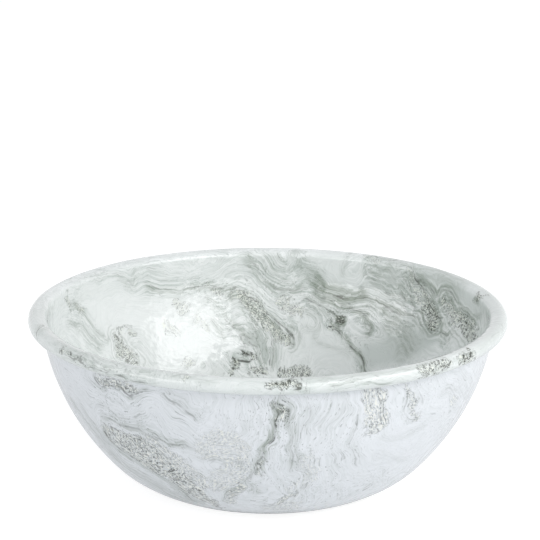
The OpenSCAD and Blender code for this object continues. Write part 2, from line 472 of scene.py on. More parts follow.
insideMarbling = {
    "heading": 118,  # degrees, across the run of the lines
    # Wave length and reach in mm, and a seed
    "pulls": ((95, 15, 11), (42, 6, 12), (19, 1.8, 13)),
    # Degrees round, mm along, radius in mm and turn in degrees
    "eddies": ((141, 132, 18, -90), (250, 120, 30, 160), (300, 90, 26, -150), (215, 150, 22, 130),
        (330, 150, 24, -120), (20, 40, 26, 140), (190, 60, 28, -130)),
    # The same as the pulls, for the veins and patches
    "tremble": ((24, 0.9, 41), (9, 0.35, 44)),
    "rimFrom": 180.3,  # mm along the section where the rim's own strokes start
    "veins": (
        (0.25, 0.25, 2, 0, ((160, 181), (148, 178), (140, 174), (136, 168), (134, 165), (132.5, 170),
         (130, 172))),
        (0.5, 0.6, 2.4, -1, ((131, 167), (127, 164), (121, 161), (115, 159.5), (109, 158.5), (104, 156.5),
         (100, 153))),
        (0.75, 0.8, 4, -3, ((105, 161), (101, 156), (97, 150), (93, 144), (89, 138), (85.5, 132), (82.5, 127),
         (81, 123), (81.5, 120), (84, 118.5))),
        (0.35, 0.45, 3, 0, ((100, 150), (97, 142), (95, 134), (94, 126), (93, 118), (92, 108), (91, 98))),
        (0.3, 0.35, 3, 0, ((96, 150), (92, 140), (90, 130), (89, 120), (88.5, 110), (88, 98))),
        (0.45, 0.3, 2, 0, ((112, 152), (107, 147), (104, 140), (101, 131), (98, 124), (97, 119))),
        (1.15, 0.4, 1.5, 0, ((100.5, 119.3), (98.5, 117.3), (96.2, 115.6), (94.5, 114), (95.5, 111.8),
         (97.5, 110.8), (100.5, 111.8), (102.5, 109.8), (103.5, 105), (104.5, 100.8))),
        (0.35, 0.6, 2.6, 0, ((98, 181), (96.2, 175), (94.5, 168.8), (93.2, 164), (91.2, 159.5), (89, 156.5),
         (86.2, 154.8), (83.2, 154.3), (80, 155.8), (77.5, 156))),
        (0.25, 0.38, 2, 0, ((93, 173), (91.5, 166.3), (90.5, 162.3), (88.8, 160), (86.2, 158.5),
         (83.5, 157.8))),
        (0.05, 0.3, 6.5, 0, ((92.5, 178), (91.5, 174.4), (90, 168.8), (88, 163.8), (85, 160.3), (81.8, 159.5),
         (79.2, 163), (77.5, 167.3), (76.5, 171.3))),
        (0.15, 0.55, 4.4, 0, ((79.5, 176), (78.5, 171.8), (77.5, 168.8), (75.8, 164), (74, 159.8))),
        (0.3, 1.3, 4, 0, ((77.5, 166.5), (75.5, 162), (73.5, 158.5), (71, 156), (68.5, 154.8), (66, 154.5),
         (63.5, 155.2), (60.5, 156.5), (57, 157))),
        (0.5, 0.95, 2.2, 0, ((79, 160.5), (77, 158.3), (74.5, 154.8), (71.5, 152.3), (68, 150.8), (65, 151.3),
         (62, 153.3), (58.8, 154.5), (55.2, 154), (52, 152.3), (48.8, 150.5), (45.2, 148.5), (41, 145.5))),
        (0.45, 1.2, 2.4, 0, ((79, 154.3), (76, 152.3), (73.8, 150.5), (70.5, 148.3), (67, 147.3),
         (63.8, 146.5), (61, 145.8), (58.5, 143.3), (57, 139.8), (56, 136.3), (56.5, 132.5), (59.5, 130))),
        (0.25, 0.5, 2.2, 0, ((61.5, 150.5), (58.2, 150), (54.8, 149.5), (51.5, 147.8), (47.8, 145),
         (44, 141.5))),
        (0.45, 0.8, 2.4, 0, ((57.5, 156), (54, 153.8), (51.2, 152.5), (46.8, 149.5), (41.8, 148.5),
         (36.8, 145.5), (32.5, 144.5), (29.5, 147.5), (26.5, 148), (24, 146), (21, 149.5), (15, 151))),
        (0.2, 0.35, 2, 0, ((108.8, 139.5), (106.8, 133.5), (105.2, 128.5), (104.5, 120.3))),
        (0.3, 0.5, 1.8, 0, ((103.2, 134), (100.5, 131.8), (98.5, 126.8), (95.5, 125.3), (93.2, 121.1),
         (92.5, 111.3), (94, 104.8))),
        (0.7, 0.5, 2, 0, ((82, 150), (77, 147), (73, 144.5), (70, 142), (67.5, 140), (65.5, 139))),
        (0.8, 0.9, 1.5, 0, ((71, 143.5), (69, 141.8), (67, 139.8), (65, 138.6), (63.5, 138))),
        (0.4, 2.6, 1.9, 0, ((67.5, 137), (66, 137.3), (64.5, 137.6), (63.2, 137.6))),
        (0.95, 1, 1.4, 0, ((73, 153.6), (71.5, 151.8), (69, 151), (66.5, 151.2), (64, 152.3), (62, 153.2))),
        (0.2, 0.9, 2.6, 0, ((77.5, 166), (75.4, 161.4), (73.2, 158.4), (71.5, 155.6), (69.2, 153.6))),
        (0.9, 1.2, 2, 0, ((12, 173.5), (10.6, 176.5), (10.4, 180))),
        (0.6, 0.2, 1.2, 0, ((60.5, 179.4), (58, 178.8), (56, 178.5), (52.2, 179.9), (49.5, 180.2))),
        (0.9, 1.1, 1.7, 0, ((69.5, 137), (67, 133), (64.5, 129.5), (62.5, 126), (60.5, 122), (58, 118),
         (55.5, 114), (53, 110), (50, 105))),
        (0.45, 0.7, 2, 0, ((50, 173), (46, 169), (43.5, 163), (42, 157), (39, 151.5), (35.5, 148),
         (31.5, 147), (28.5, 149))),
        (0.95, 0.85, 2.5, 0, ((46, 181), (43.5, 176), (41, 171), (38, 166), (35.5, 161.5), (33, 157.5),
         (30.5, 154.5), (29, 151.5), (29.5, 149))),
        (0.55, 1, 2.2, 0, ((44, 176), (41, 172.8), (37, 170), (34, 167.5), (32, 166.5), (30.5, 170),
         (28, 172), (24.8, 170), (21, 165.5), (15, 163), (9, 166), (2.2, 172.5))),
        (0.25, 0.8, 1.8, 0, ((38, 166.5), (35, 164), (32, 162), (30, 165.5), (27.5, 167.5), (25, 165),
         (21, 161.5), (15, 159.5), (8, 159))),
        (0.12, 0.5, 5, 0, ((62, 174), (56, 170), (50, 166), (46, 161), (43, 155))),
        (0.2, 0.6, 3, 0, ((60, 166), (53, 161), (48, 158), (44, 154.5))),
        (0.15, 0.4, 2, 0, ((88, 180), (87, 174), (85, 170), (82, 169), (81, 172), (82.5, 176), (80, 179),
         (76, 177))),
        (0.15, 0.3, 2, 0, ((66, 183), (66, 176), (67.5, 169), (66.5, 163))),
        (0.3, 0.3, 2, 0, ((60, 182), (56, 179.5), (51, 181))),
        (0.25, 0.35, 2.5, 0, ((163, 170), (158, 164), (155, 157), (152.5, 150), (150, 143), (147, 137))),
        (0.2, 0.28, 2.5, 0, ((168, 160), (161, 156), (157, 148), (154, 140), (151, 134))),
        (0.15, 0.25, 3, 0, ((81, 142), (76, 140), (73.5, 135), (76, 131), (80, 134))),
        (0.12, 0.25, 2, 0, ((77, 130), (72, 124), (68, 120), (63, 118), (59, 112))),
        # A broad sage haze, partly the glaze's tint and partly painted shade on the lower right wall
        (0.12, 0.6, 9, 0, ((53, 147), (47, 141), (43, 136), (40, 131), (36, 126))),
        (0.1, 0.5, 9, 0, ((60, 178), (50, 176), (40, 177), (30, 178), (18, 176))),
        (0.6, 0.2, 1.2, 0, ((-161, 181.5), (-156.5, 185), (-154, 188.5))),
        (0.7, 0.25, 1.2, 0, ((-142, 186), (-136, 187), (-132, 188.5), (-127, 190), (-120, 190.5),
         (-112, 190))),
        (0.3, 0.1, 1, 0, ((-127, 182), (-123, 186), (-120.5, 189))),
        (1.2, 0.5, 1.4, 0, ((-89.5, 189), (-87.5, 187.6), (-86.3, 186.2), (-85.8, 184), (-85.4, 180.5))),
        (1, 0.3, 1.2, 0, ((-85.6, 190.5), (-84.2, 188.3), (-84.8, 186), (-83.6, 183.5), (-83.8, 181))),
        (0.45, 0.3, 1.2, 0, ((-79, 188), (-74, 188.5), (-70, 189), (-66, 190.5), (-62, 190.5))),
        (0.2, 0.28, 2, 0, ((-150, 184), (-138, 184.5), (-122, 186.5), (-108, 184.5), (-96, 186.5))),
        (0.2, 0.25, 2, 0, ((-82, 184), (-72, 185.5), (-62, 186.5), (-52, 184))),
        (0.15, 0.18, 2, 0, ((-48, 187), (-36, 186), (-24, 184.5), (-12, 186.5))),
    ),
    # Paths that only lead the fine lines
    "guides": (
        ((170, 172), (160, 174), (150, 176), (143, 174), (137, 171), (134.5, 167), (132, 170), (125, 172),
         (118, 170), (112, 166), (106, 163), (101, 158)),
        ((150, 168), (140, 162), (132, 157), (126, 153), (121, 150), (115, 145), (110, 138), (107, 130),
         (105, 120)),
        ((150, 158), (142, 152), (136, 147), (130, 140), (127, 130), (124, 120)),
        ((104, 170), (99, 163), (94, 156), (90, 150), (86, 144), (82, 136), (79, 128), (78, 120), (80, 112),
         (84, 104)),
        ((96, 176), (96, 169), (93.5, 161), (89, 154.5), (84, 151.5), (79, 150), (75, 145), (72, 138),
         (70, 130), (67, 122), (62, 114)),
        ((60, 152), (55, 149), (51.5, 144), (50, 138), (50.5, 130), (52, 122)),
        ((70, 176), (70, 168), (69, 161), (65, 158), (60, 160), (55, 157), (49, 154.5)),
        ((-180, 183), (-150, 183), (-120, 184), (-90, 183), (-60, 184), (-30, 183), (0, 184), (30, 183),
         (60, 184), (90, 183), (120, 184), (150, 183), (180, 183)),
        ((-180, 189), (-150, 188), (-120, 189), (-90, 188.5), (-60, 189), (-30, 188), (0, 189), (30, 188),
         (60, 189), (90, 188), (120, 189), (150, 188), (180, 189)),
    ),
    "patches": (
        (0.85, 0.25, ((144.5, 140, 2.5), (144, 134, 4), (143, 128, 4), (140.5, 122, 3))),
        (0.6, 0, ((142, 142, 2.2), (138.5, 141, 2.4), (136.5, 136, 2))),
        (0.7, 0, ((164, 172, 2.4), (161, 166, 2.4))),
        (0.5, 0, ((158, 164, 2), (155.5, 161, 2))),
        (0.6, 0, ((101, 153, 3), (97, 147, 4.6), (94, 141, 5.5), (91, 135, 5.5), (87, 128.5, 5),
         (84, 123, 4))),
        (1, 0.35, ((91, 133, 3.5), (87, 128.5, 4.5), (83.5, 123, 3.8))),
        (1.5, 0, ((98.5, 117.3, 2), (96.2, 115.4, 2.8), (94.3, 113.6, 2))),
        (1.5, 0, ((102, 110, 1.8), (102.5, 106, 2.4), (104, 101.5, 2))),
        (0.9, 0, ((95, 103, 3.2), (91, 101, 3.4))),
        (1.1, 0, ((83.5, 101, 3.4), (80, 103, 3.8), (76.5, 103, 3))),
        (0.35, 0, ((124, 139, 3.5), (121, 135, 3.5))),
        (0.5, 0, ((119, 150, 3), (117, 146, 3.6))),
        (0.35, 0, ((113, 138, 3), (110, 133, 3.2))),
        (0.4, 0, ((120, 111, 4),)),
        (0.5, 0, ((44.5, 175, 2.4), (42.5, 169, 4), (39.5, 163, 5.6), (37, 158.5, 6.4))),
        (1.25, 0.35, ((37, 158, 6), (34.8, 155, 6.6), (32.5, 151.5, 5.2))),
        (0.7, 0.3, ((29.5, 165, 3.4), (26, 161, 5), (21, 158, 6.2))),
        (1.15, 0.35, ((21, 158, 6), (14.5, 155.8, 6.4), (9, 156, 5))),
        (0.6, 0, ((85, 149, 3), (83, 144, 3.8), (81, 140, 3))),
        (1, 0, ((70, 142.5, 1.6), (67, 139.5, 2.2), (65, 138, 2.4))),
        (0.9, 0, ((69, 135.5, 2.2), (66.5, 132, 2.2), (65, 130, 1.6))),
        (0.8, 0, ((12, 175, 2.6), (10, 179, 2.6))),
        (0.6, 0, ((108, 158, 2.4), (105, 153, 2.4))),
        (0.14, 0, ((48, 143, 6), (42, 135, 7), (38, 128, 6))),
        (0.35, 0, ((60, 180, 2.5), (55, 178, 2.5))),
        (0.8, 0, ((-141.5, 186.5, 2.4), (-139, 185, 2))),
        (0.6, 0, ((-136, 187, 1.8),)),
        (0.5, 0, ((-121.5, 187, 2.2),)),
        (0.4, 0, ((-107, 186.5, 2.4),)),
        (1.3, 0, ((-89, 188, 1.6), (-86.2, 186.6, 2), (-84, 186, 1.4))),
        (1.1, 0, ((-55, 186.5, 3.4), (-51, 186.5, 3.6), (-48, 186.5, 3.4))),
        (1.2, 0, ((-43, 187, 2.6), (-41, 187, 3), (-39, 188, 2.2))),
    ),
    # Places where the fine work fades: how much of it fades, how far the ground darkens towards the shade
    # colour, and middle line
    # The darkening is the glaze's own tone in some places, and painted shade on the rim and on the right wall
    "quiet": (
        (0.6, 0.25, ((72.5, 177, 8), (70, 170, 8), (67.8, 163, 6))),
        (0, 0.45, ((79, 170, 4), (77.5, 166, 5), (75, 161, 6.5), (72, 157, 5.5), (68, 154, 4), (62, 153, 3))),
        (0.5, 0.3, ((53, 177, 7), (51, 171, 7))),
        # Painted shade: these two darken the rim on the right and all round the front, down under the bead
        (0.9, 0.6, ((44, 188, 8), (20, 187, 9), (0, 187, 9), (-20, 187, 8), (-34, 188, 7))),
        (0.2, 0.32, ((-175, 187, 11), (-140, 187, 11), (-110, 187, 11), (-80, 187, 11), (-50, 187, 11))),
        # Partly the glaze's blue-grey tone and partly painted shade: these two darken the upper right wall,
        # which faces away from the key light
        (0.9, 0.6, ((40, 178, 6), (28.5, 176.5, 6), (20, 172, 5), (8, 168, 5))),
        (0.5, 0.6, ((12, 172, 6), (0, 176, 6), (-8, 178, 5))),
        (0.6, 0, ((129.5, 143, 12), (122, 128, 14), (112, 118, 8))),
        (0.6, 0, ((152, 168, 9), (147, 155, 12), (138, 152, 12))),
        (0.7, 0.2, ((78, 121, 7), (72, 123, 9), (66, 119, 9), (62, 112, 8))),
        # Painted shade: darkens the lower right wall, which faces away from the key light
        (0.15, 0.85, ((53, 120, 10), (46, 126, 10), (38.8, 132.5, 10), (33, 140, 8))),
    ),
}

outsideMarbling = {
    "heading": 12,
    "pulls": ((100, 16, 61), (46, 7, 62), (20, 2.2, 63)),
    "eddies": ((-100, 130, 20, 100), (60, 130, 30, 150), (120, 110, 28, -140), (10, 150, 24, 120),
        (160, 150, 26, -110), (90, 60, 30, 120)),
    "tremble": ((24, 0.9, 81), (9, 0.5, 84)),
    "rimFrom": 180.3,
    "veins": (
        (0.8, 0.4, 1.6, 0, ((-134.5, 174), (-134.5, 168), (-132, 165.5), (-129, 167), (-126, 165.5),
         (-123.5, 163.5), (-121, 166.5), (-118, 169.5), (-115, 172))),
        (0.5, 0.2, 1.5, 0, ((-115, 172), (-111.5, 168), (-109.5, 164), (-107, 160.5), (-104, 156.5))),
        (0.4, 0.2, 1.5, 0, ((-138, 149), (-134, 153.5), (-131, 155), (-128.5, 152.5), (-125, 153),
         (-121.5, 154.5), (-118.5, 158.5))),
        (0.5, 0.6, 2.5, 0, ((-137, 142), (-133, 146), (-129, 146.5), (-124.5, 146.5), (-120.5, 143),
         (-116, 140.5), (-111, 140.5), (-105.5, 142.5))),
        (0.65, 0.7, 2.5, 0, ((-132.5, 144), (-136.5, 136), (-137, 129), (-134.5, 122), (-129, 119),
         (-124, 117.5), (-121.5, 112), (-119.5, 106), (-117, 98), (-113.5, 90), (-109, 83))),
        (0.62, 0.85, 1.9, 0.3, ((-92.8, 122), (-92, 129), (-91, 137), (-89.8, 146), (-88.8, 155),
         (-87.8, 162), (-87, 168), (-86.6, 175))),
        (0.3, 0.4, 2.5, 0, ((-99, 113), (-95, 121), (-92.5, 129), (-91.4, 138))),
        (0.35, 0.6, 2, 0, ((-88, 172), (-86, 167), (-85, 161), (-84.5, 153), (-84, 145), (-83.5, 136),
         (-83.5, 126))),
        (0.25, 0.8, 2.4, 0, ((-87.5, 169), (-87.2, 165), (-87.4, 161))),
        (0.22, 0.25, 1.5, 0, ((-80.5, 170), (-81, 159), (-82, 149))),
        (0.2, 0.15, 1.2, 0, ((-75.5, 171), (-77, 160), (-78.5, 151))),
        (0.15, 0.15, 1.2, 0, ((-72.8, 170), (-74.5, 158), (-76.5, 149))),
        (0.25, 0.15, 1.5, 0, ((-79, 142), (-80, 131), (-79, 119))),
        (0.2, 0.1, 1.5, 0, ((-77, 119), (-76, 107))),
        (0.3, 0.15, 1.5, 0, ((-70.5, 173), (-70, 160), (-69.5, 150), (-69, 140), (-67.5, 130), (-64, 121))),
        (0.35, 0.15, 1, 0, ((-58, 174), (-56.5, 163), (-54.5, 155), (-51.5, 148))),
        (0.25, 0.1, 1, 0, ((-54.5, 174), (-52.5, 164), (-50, 156))),
        (0.25, 0.25, 2, 0, ((-45, 161), (-40, 160), (-37, 157), (-34.5, 151))),
        (0.3, 0.5, 2, 0, ((-104.5, 92), (-101, 104), (-98.5, 112), (-96, 116), (-94, 112), (-95, 103))),
        (0.25, 0.5, 3, 0, ((-153, 148), (-148, 138), (-144, 130), (-141.5, 119))),
        (0.2, 0.4, 3, 0, ((-147, 152), (-143, 142), (-140, 132), (-139, 121))),
        (0.15, 0.55, 8, 0, ((-146, 122), (-139, 112), (-131, 103), (-123, 93), (-112, 84))),
        (0.2, 0.2, 1.5, 0, ((-108, 132), (-104.5, 136.5), (-99.5, 136), (-96.5, 131), (-96.5, 124))),
        (0.2, 0.2, 1.5, 0, ((-110, 126), (-108, 117), (-103, 112), (-98, 112), (-95, 116))),
        (0.15, 0.2, 3, 0, ((-62, 146), (-59, 141), (-55, 139), (-50, 141), (-46, 144))),
        (0.1, 0.15, 3, 0, ((-63, 132), (-58, 128), (-52, 121), (-46, 117))),
    ),
    "guides": (
        ((-155, 168), (-146, 163), (-139, 160), (-132, 161), (-125, 159), (-118, 163), (-112, 158),
         (-106, 150), (-103, 142)),
        ((-150, 156), (-143, 150), (-139, 145), (-141, 135)),
        ((-97, 171), (-95.5, 160), (-95, 150), (-95, 140), (-97, 128), (-101, 118), (-104, 106), (-106, 95)),
        ((-79, 172), (-79, 158), (-79.5, 144), (-78, 130), (-76, 116), (-74, 100), (-72, 88)),
        ((-63, 148), (-60, 136), (-55, 126), (-48, 116), (-40, 106)),
        ((-50, 172), (-47, 160), (-43, 150), (-37, 141), (-30, 134)),
        ((-36, 172), (-33, 162), (-28, 154), (-22, 146)),
        ((-126, 138), (-121, 133), (-115, 128), (-111, 120), (-108, 110), (-107, 98)),
    ),
    "patches": (
        (0.7, 0, ((-132, 169.5, 4), (-127, 169, 4), (-122, 169, 3.2))),
        (0.9, 0, ((-135, 134, 6), (-129.5, 131, 11), (-124, 129, 12.5), (-119.5, 124, 10.5), (-116, 117, 8.6),
         (-114.5, 108, 7), (-111.5, 99, 5.4), (-107, 90, 3.6))),
        (0.5, 0, ((-121, 136, 6), (-115, 129, 6), (-112, 120, 6), (-110, 110, 5))),
        (1, 0, ((-88, 167, 2), (-87, 163, 2.2), (-88, 158, 1.8))),
        (0.7, 0, ((-91.5, 132, 1.8), (-92, 126, 1.8))),
        (0.62, 0, ((-65.5, 172, 6), (-65, 165, 7), (-64, 158, 7), (-63, 151, 6))),
        (0.6, 0, ((-57, 172, 2), (-55.5, 165, 2.4), (-53.5, 158, 2.4), (-51.5, 151, 2.8))),
        (0.5, 0, ((-97.5, 113, 3.4), (-99.5, 105, 3.6), (-101, 96, 3.4))),
        (0.55, 0, ((-86, 98, 3.4), (-83, 103, 3))),
        (0.32, 0, ((-104, 140, 8), (-99, 146, 9), (-97, 136, 8), (-100, 124, 8), (-104, 112, 7))),
        (0.25, 0, ((-82, 112, 6), (-79, 122, 6), (-80, 134, 5))),
        (0.35, 0, ((-37, 155, 3), (-35, 150, 2.6))),
        (0.3, 0, ((-90, 92, 6), (-82, 92, 6))),
    ),
    "quiet": (
        (0.55, 0, ((-58, 138, 12), (-51, 127, 14), (-42, 121, 14))),
    ),
}


def waves(points, length, seed, count=24):
    # A smooth random height about 1 tall: the sum of count sines, about length mm long, of random heading
    # and phase
    draw = np.random.default_rng(seed)
    heading = draw.normal(size=(count, points.shape[1]))
    heading /= np.linalg.norm(heading, axis=1)[:, None]
    pace = tau / (length * draw.uniform(0.6, 1.6, count))
    phase = draw.uniform(0, tau, count)
    return np.sin(points @ (heading * pace[:, None]).T + phase).sum(1) * math.sqrt(2 / count)


def stirred(chart, style):
    # The flat chart, turned about each eddy by turn * exp(-(distance / radius)^2) degrees and pulled by waves
    for angle, up, radius, turn in style["eddies"]:
        middle = up * along(angle)
        arm = chart - middle
        a = math.radians(turn) * np.exp(-(arm ** 2).sum(1) / radius ** 2)
        chart = middle + np.stack((arm[:, 0] * np.cos(a) - arm[:, 1] * np.sin(a),
                                   arm[:, 0] * np.sin(a) + arm[:, 1] * np.cos(a)), 1)
    for length, reach, seed in style["pulls"]:
        chart = chart + reach * np.stack((waves(chart, length, seed), waves(chart, length, seed + 100)), 1)
    return chart


def smoothPath(path, perSpan=4):
    # A Catmull-Rom curve through the points
    p = np.asarray(path, float)
    if len(p) == 1:
        return np.concatenate((p, p + 1e-3))
    p = np.concatenate((2 * p[:1] - p[1:2], p, 2 * p[-1:] - p[-2:-1]))
    t = (np.arange(perSpan) / perSpan)[None, :, None]
    a, b, c, d = (p[n:len(p) - 3 + n, None] for n in range(4))
    curve = 0.5 * (2 * b + (c - a) * t + (2 * a - 5 * b + 4 * c - d) * t ** 2
                   + (3 * b - a - 3 * c + d) * t ** 3)
    return np.concatenate((curve.reshape(-1, p.shape[1]), p[-2:-1]))


def toLine(points, normals, line):
    # Distance from each point to a line through space, its sign (left of the line, seen along the normal, is
    # above zero) and the share of the line's length at the nearest place
    start, step = line[:-1], np.diff(line, axis=0)
    length2 = np.maximum((step ** 2).sum(1), 1e-9)
    arm = points[:, None] - start
    t = np.clip((arm * step).sum(2) / length2, 0, 1)
    gap = arm - t[..., None] * step
    away2 = (gap ** 2).sum(2)
    best = away2.argmin(1)
    row = np.arange(len(points))
    side = np.einsum("ij,ij->i", np.cross(step[best], gap[row, best]), normals)
    distance = np.sqrt(away2[row, best])
    return distance, np.where(side < 0, -distance, distance), (best + t[row, best]) / len(start)


def eased(low, high, value):
    t = np.clip((value - low) / (high - low), 0, 1)
    return t * t * (3 - 2 * t)


def tapered(share, ends):
    # From 0 at both ends of a line to 1 where the share of its length passes ends
    return eased(0, ends, share) * eased(0, ends, 1 - share)


def settledLevels(weights, sides, plain):
    # The flow on each path, and the sign of its side, such that where two paths share ground their flows
    # agree as well as they can: least squares over all points, weighted by the product of the two paths'
    # weights. The signs settle in a few rounds, and plain gives each path a weak pull of its own.
    rounds, signPull, levelPull = 8, 0.05, 0.02
    weighted = weights * sides
    shared = weights @ weights.T + 1e-9
    cross = weighted @ weights.T
    agree = weighted @ weighted.T - cross * cross.T / shared
    mean = (weights @ plain) / (weights.sum(1) + 1e-9)
    trend = (weighted @ plain) - weighted.sum(1) * mean
    sign = np.where(trend < 0, -1.0, 1.0)
    np.fill_diagonal(agree, 0)
    for _ in range(rounds):
        for n in range(len(sign)):
            sign[n] = math.copysign(1.0, agree[n] @ sign + signPull * trend[n])
    own = levelPull * np.diag(shared)
    np.fill_diagonal(shared, 0)
    np.fill_diagonal(cross, 0)
    right = (cross * sign[:, None]).T.sum(1) - sign * cross.sum(1) + own * mean
    return np.linalg.solve(np.diag(shared.sum(1) + own) - shared, right), sign


def paceOf(flow, points, ringCount):
    # How fast the flow changes across the surface, per mm, smoothed over a few mm, as doublings below 1
    rounds, leastStep = 6, 0.05
    grid = flow.reshape(-1, ringCount)
    place = points.reshape(-1, ringCount, 3)
    up = np.linalg.norm(np.gradient(place, axis=0), axis=2)
    aside = np.linalg.norm(np.roll(place, -1, 1) - np.roll(place, 1, 1), axis=2) / 2
    slope = np.hypot(np.gradient(grid, axis=0) / np.maximum(up, leastStep),
                     (np.roll(grid, -1, 1) - np.roll(grid, 1, 1)) / 2 / np.maximum(aside, leastStep)) ** 2
    for _ in range(rounds):
        slope = (np.roll(slope, 1, 1) + slope + np.roll(slope, -1, 1)) / 3
        padded = np.concatenate((slope[:1], slope, slope[-1:]))
        slope = (padded[:-2] + slope + padded[2:]) / 3
    return np.clip(-0.5 * np.log2(slope + 1e-4), -2.5, 3.5).ravel()


fieldReach = {           # mm unless said
    "path": 30.0,        # how far a path leads the lines
    "guide": 12.0,       # how fast its lead falls off
    "guideEnds": (0.12, 0.2),   # share of its length over which its lead fades in, and what it starts from
    "plain": 0.02,       # weight of the stirred chart's own flow
    "veinEnds": 0.15,    # share of a vein's length over which its colour fades in and out
    "crossed": 0.35,     # what the weaker of two crossing bands adds to the stronger
    "lineAway": 9.0,     # the farthest that lineAway tells
    "stir": 8.0,         # how far a vein makes the fine work lively
    "stirShares": (0.35, 0.5, 0.5),     # how lively: always, for its ink and for its band, up to 1
    "stirCrossed": 0.3,
    "patch": 20.0,       # how far a patch's edge counts
    "patchEdge": 3.0,    # mm inside a patch, or outside it below zero, that count as 1 in speckEdge
    "edgeEnds": (-3.0, 1.0),    # the ends of speckEdge
    "quietEdge": (1.6, 0.4),    # shares of its half width between which a quiet place fades in
}


def strongest(field, near, values, crossed):
    # Where two strokes meet the stronger one counts, and a share of the weaker is added
    field[near] = np.maximum(field[near], values) + crossed * np.minimum(field[near], values)


def marblingFields(points, normals, chart, onSection, style, copies, ringCount):
    # flow runs across the fine lines and run goes along them, both about 1 for each mm. Near a path, flow is
    # the distance from it, so that the lines run beside it. lively tells how near the veins are. copies turn
    # the same veins and patches to where the photograph doesn't show the bowl.
    reach = fieldReach
    loose = stirred(chart, style)
    plain = (loose @ along(style["heading"])).astype(np.float32)
    count = len(points)
    sage, inked, lively, strength, ringed, quiet, wash = (np.zeros(count) for _ in range(7))
    nearest, lineAway, edge = (np.full(count, far) for far in (1e9, reach["lineAway"], reach["edgeEnds"][0]))
    spot = points
    for length, pull, seed in style["tremble"]:
        shift = pull * np.stack([waves(points, length, seed + n) for n in range(3)], 1)
        spot = spot + shift - normals * np.sum(shift * normals, 1)[:, None]
    spot, normals = spot.astype(np.float32), normals.astype(np.float32)

    def placed(rows, copies):
        # Each copy of each row, with its path put where the copy goes. The rim's own paths aren't copied.
        for copy in copies:
            turn, mirror, shift = copy[:3]
            for *values, path in rows:
                path = np.array(path, float)
                if copy is copies[0] or path[:, 1].min() <= style["rimFrom"]:
                    path[:, 0] = turn + mirror * path[:, 0]
                    path[:, 1] += shift
                    yield copy, values, smoothPath(path)

    def beside(curve, margin):
        # The points within a margin of a curve's box, and what toLine tells of them
        r, z = onSection(curve[:, 1])
        a = np.radians(curve[:, 0])
        line = np.stack((r * np.cos(a), r * np.sin(a), z), 1).astype(np.float32)
        near = np.flatnonzero(((spot > line.min(0) - margin) & (spot < line.max(0) + margin)).all(1))
        return near, *toLine(spot[near], normals[near], line)

    def halfWidth(curve, share):
        return np.interp(share * (len(curve) - 1), np.arange(len(curve)), curve[:, 2])

    strokes = []
    paths = style["veins"] + tuple((0, 0, 1, 0, guide) for guide in style["guides"])
    for copy, (ink, tone, spread, offset), curve in placed(paths, copies):
        near, distance, signed, share = beside(curve, reach["path"])
        keep = distance < reach["path"]
        if keep.any():
            strokes.append((near[keep], distance[keep], signed[keep], share[keep],
                            ink * copy[3], tone * copy[3], spread, offset * copy[1]))
    weights = np.zeros((len(strokes), count), np.float32)
    sides = np.zeros((len(strokes), count), np.float32)
    for n, (near, distance, signed, share, *_) in enumerate(strokes):
        ends, least = reach["guideEnds"]
        lead = least + (1 - least) * tapered(share, ends)
        weights[n, near] = np.exp(-(distance / reach["guide"]) ** 2) * lead
        sides[n, near] = signed
    levels, sign = settledLevels(weights, sides, plain)
    led = (weights * (levels[:, None] + sign[:, None] * sides)).sum(0)
    flow = (reach["plain"] * plain + led) / (reach["plain"] + weights.sum(0))
    for n, (near, distance, signed, share, ink, tone, spread, offset) in enumerate(strokes):
        if not tone:
            continue
        taper = tapered(share, reach["veinEnds"])
        band = np.exp(-((signed - offset) / spread) ** 2) * tone * taper
        strongest(sage, near, band, reach["crossed"])
        always, forInk, forTone = reach["stirShares"]
        most = min(1, always + ink * forInk + tone * forTone)
        stir = np.exp(-(distance / reach["stir"]) ** 2) * taper * most
        strongest(lively, near, stir, reach["stirCrossed"])
        closer = distance < nearest[near]
        pick = near[closer]
        nearest[pick] = distance[closer]
        lineAway[pick] = np.clip(sign[n] * signed[closer], -reach["lineAway"], reach["lineAway"])
        inked[pick] = ink * taper[closer]
    for copy, (power, rings), curve in placed(style["patches"], copies):
        near, distance, signed, share = beside(curve, reach["patch"])
        inside = (halfWidth(curve, share) - distance) / reach["patchEdge"]
        better = inside > edge[near]
        pick = near[better]
        edge[pick] = inside[better]
        strength[pick] = power * copy[3]
        ringed[pick] = rings * copy[3]
    # Quiet places, and their darkening of the ground, which on the rim and the right wall is painted shade
    for _, (power, tone), curve in placed(style["quiet"], copies[:1]):
        near, distance, signed, share = beside(curve, reach["patch"])
        fall = eased(*reach["quietEdge"], distance / halfWidth(curve, share))
        quiet[near] = np.maximum(quiet[near], power * fall)
        wash[near] = np.maximum(wash[near], tone * fall)
    return {"flow": flow, "pace": paceOf(flow, points, ringCount), "sage": sage,
            "run": loose @ along(style["heading"] + 90), "lively": np.clip(lively, 0, 1),
            "lineAway": lineAway, "lineInk": inked, "speckEdge": np.clip(edge, *reach["edgeEnds"]),
            "speckInk": strength, "rings": ringed, "quiet": quiet, "wash": wash}


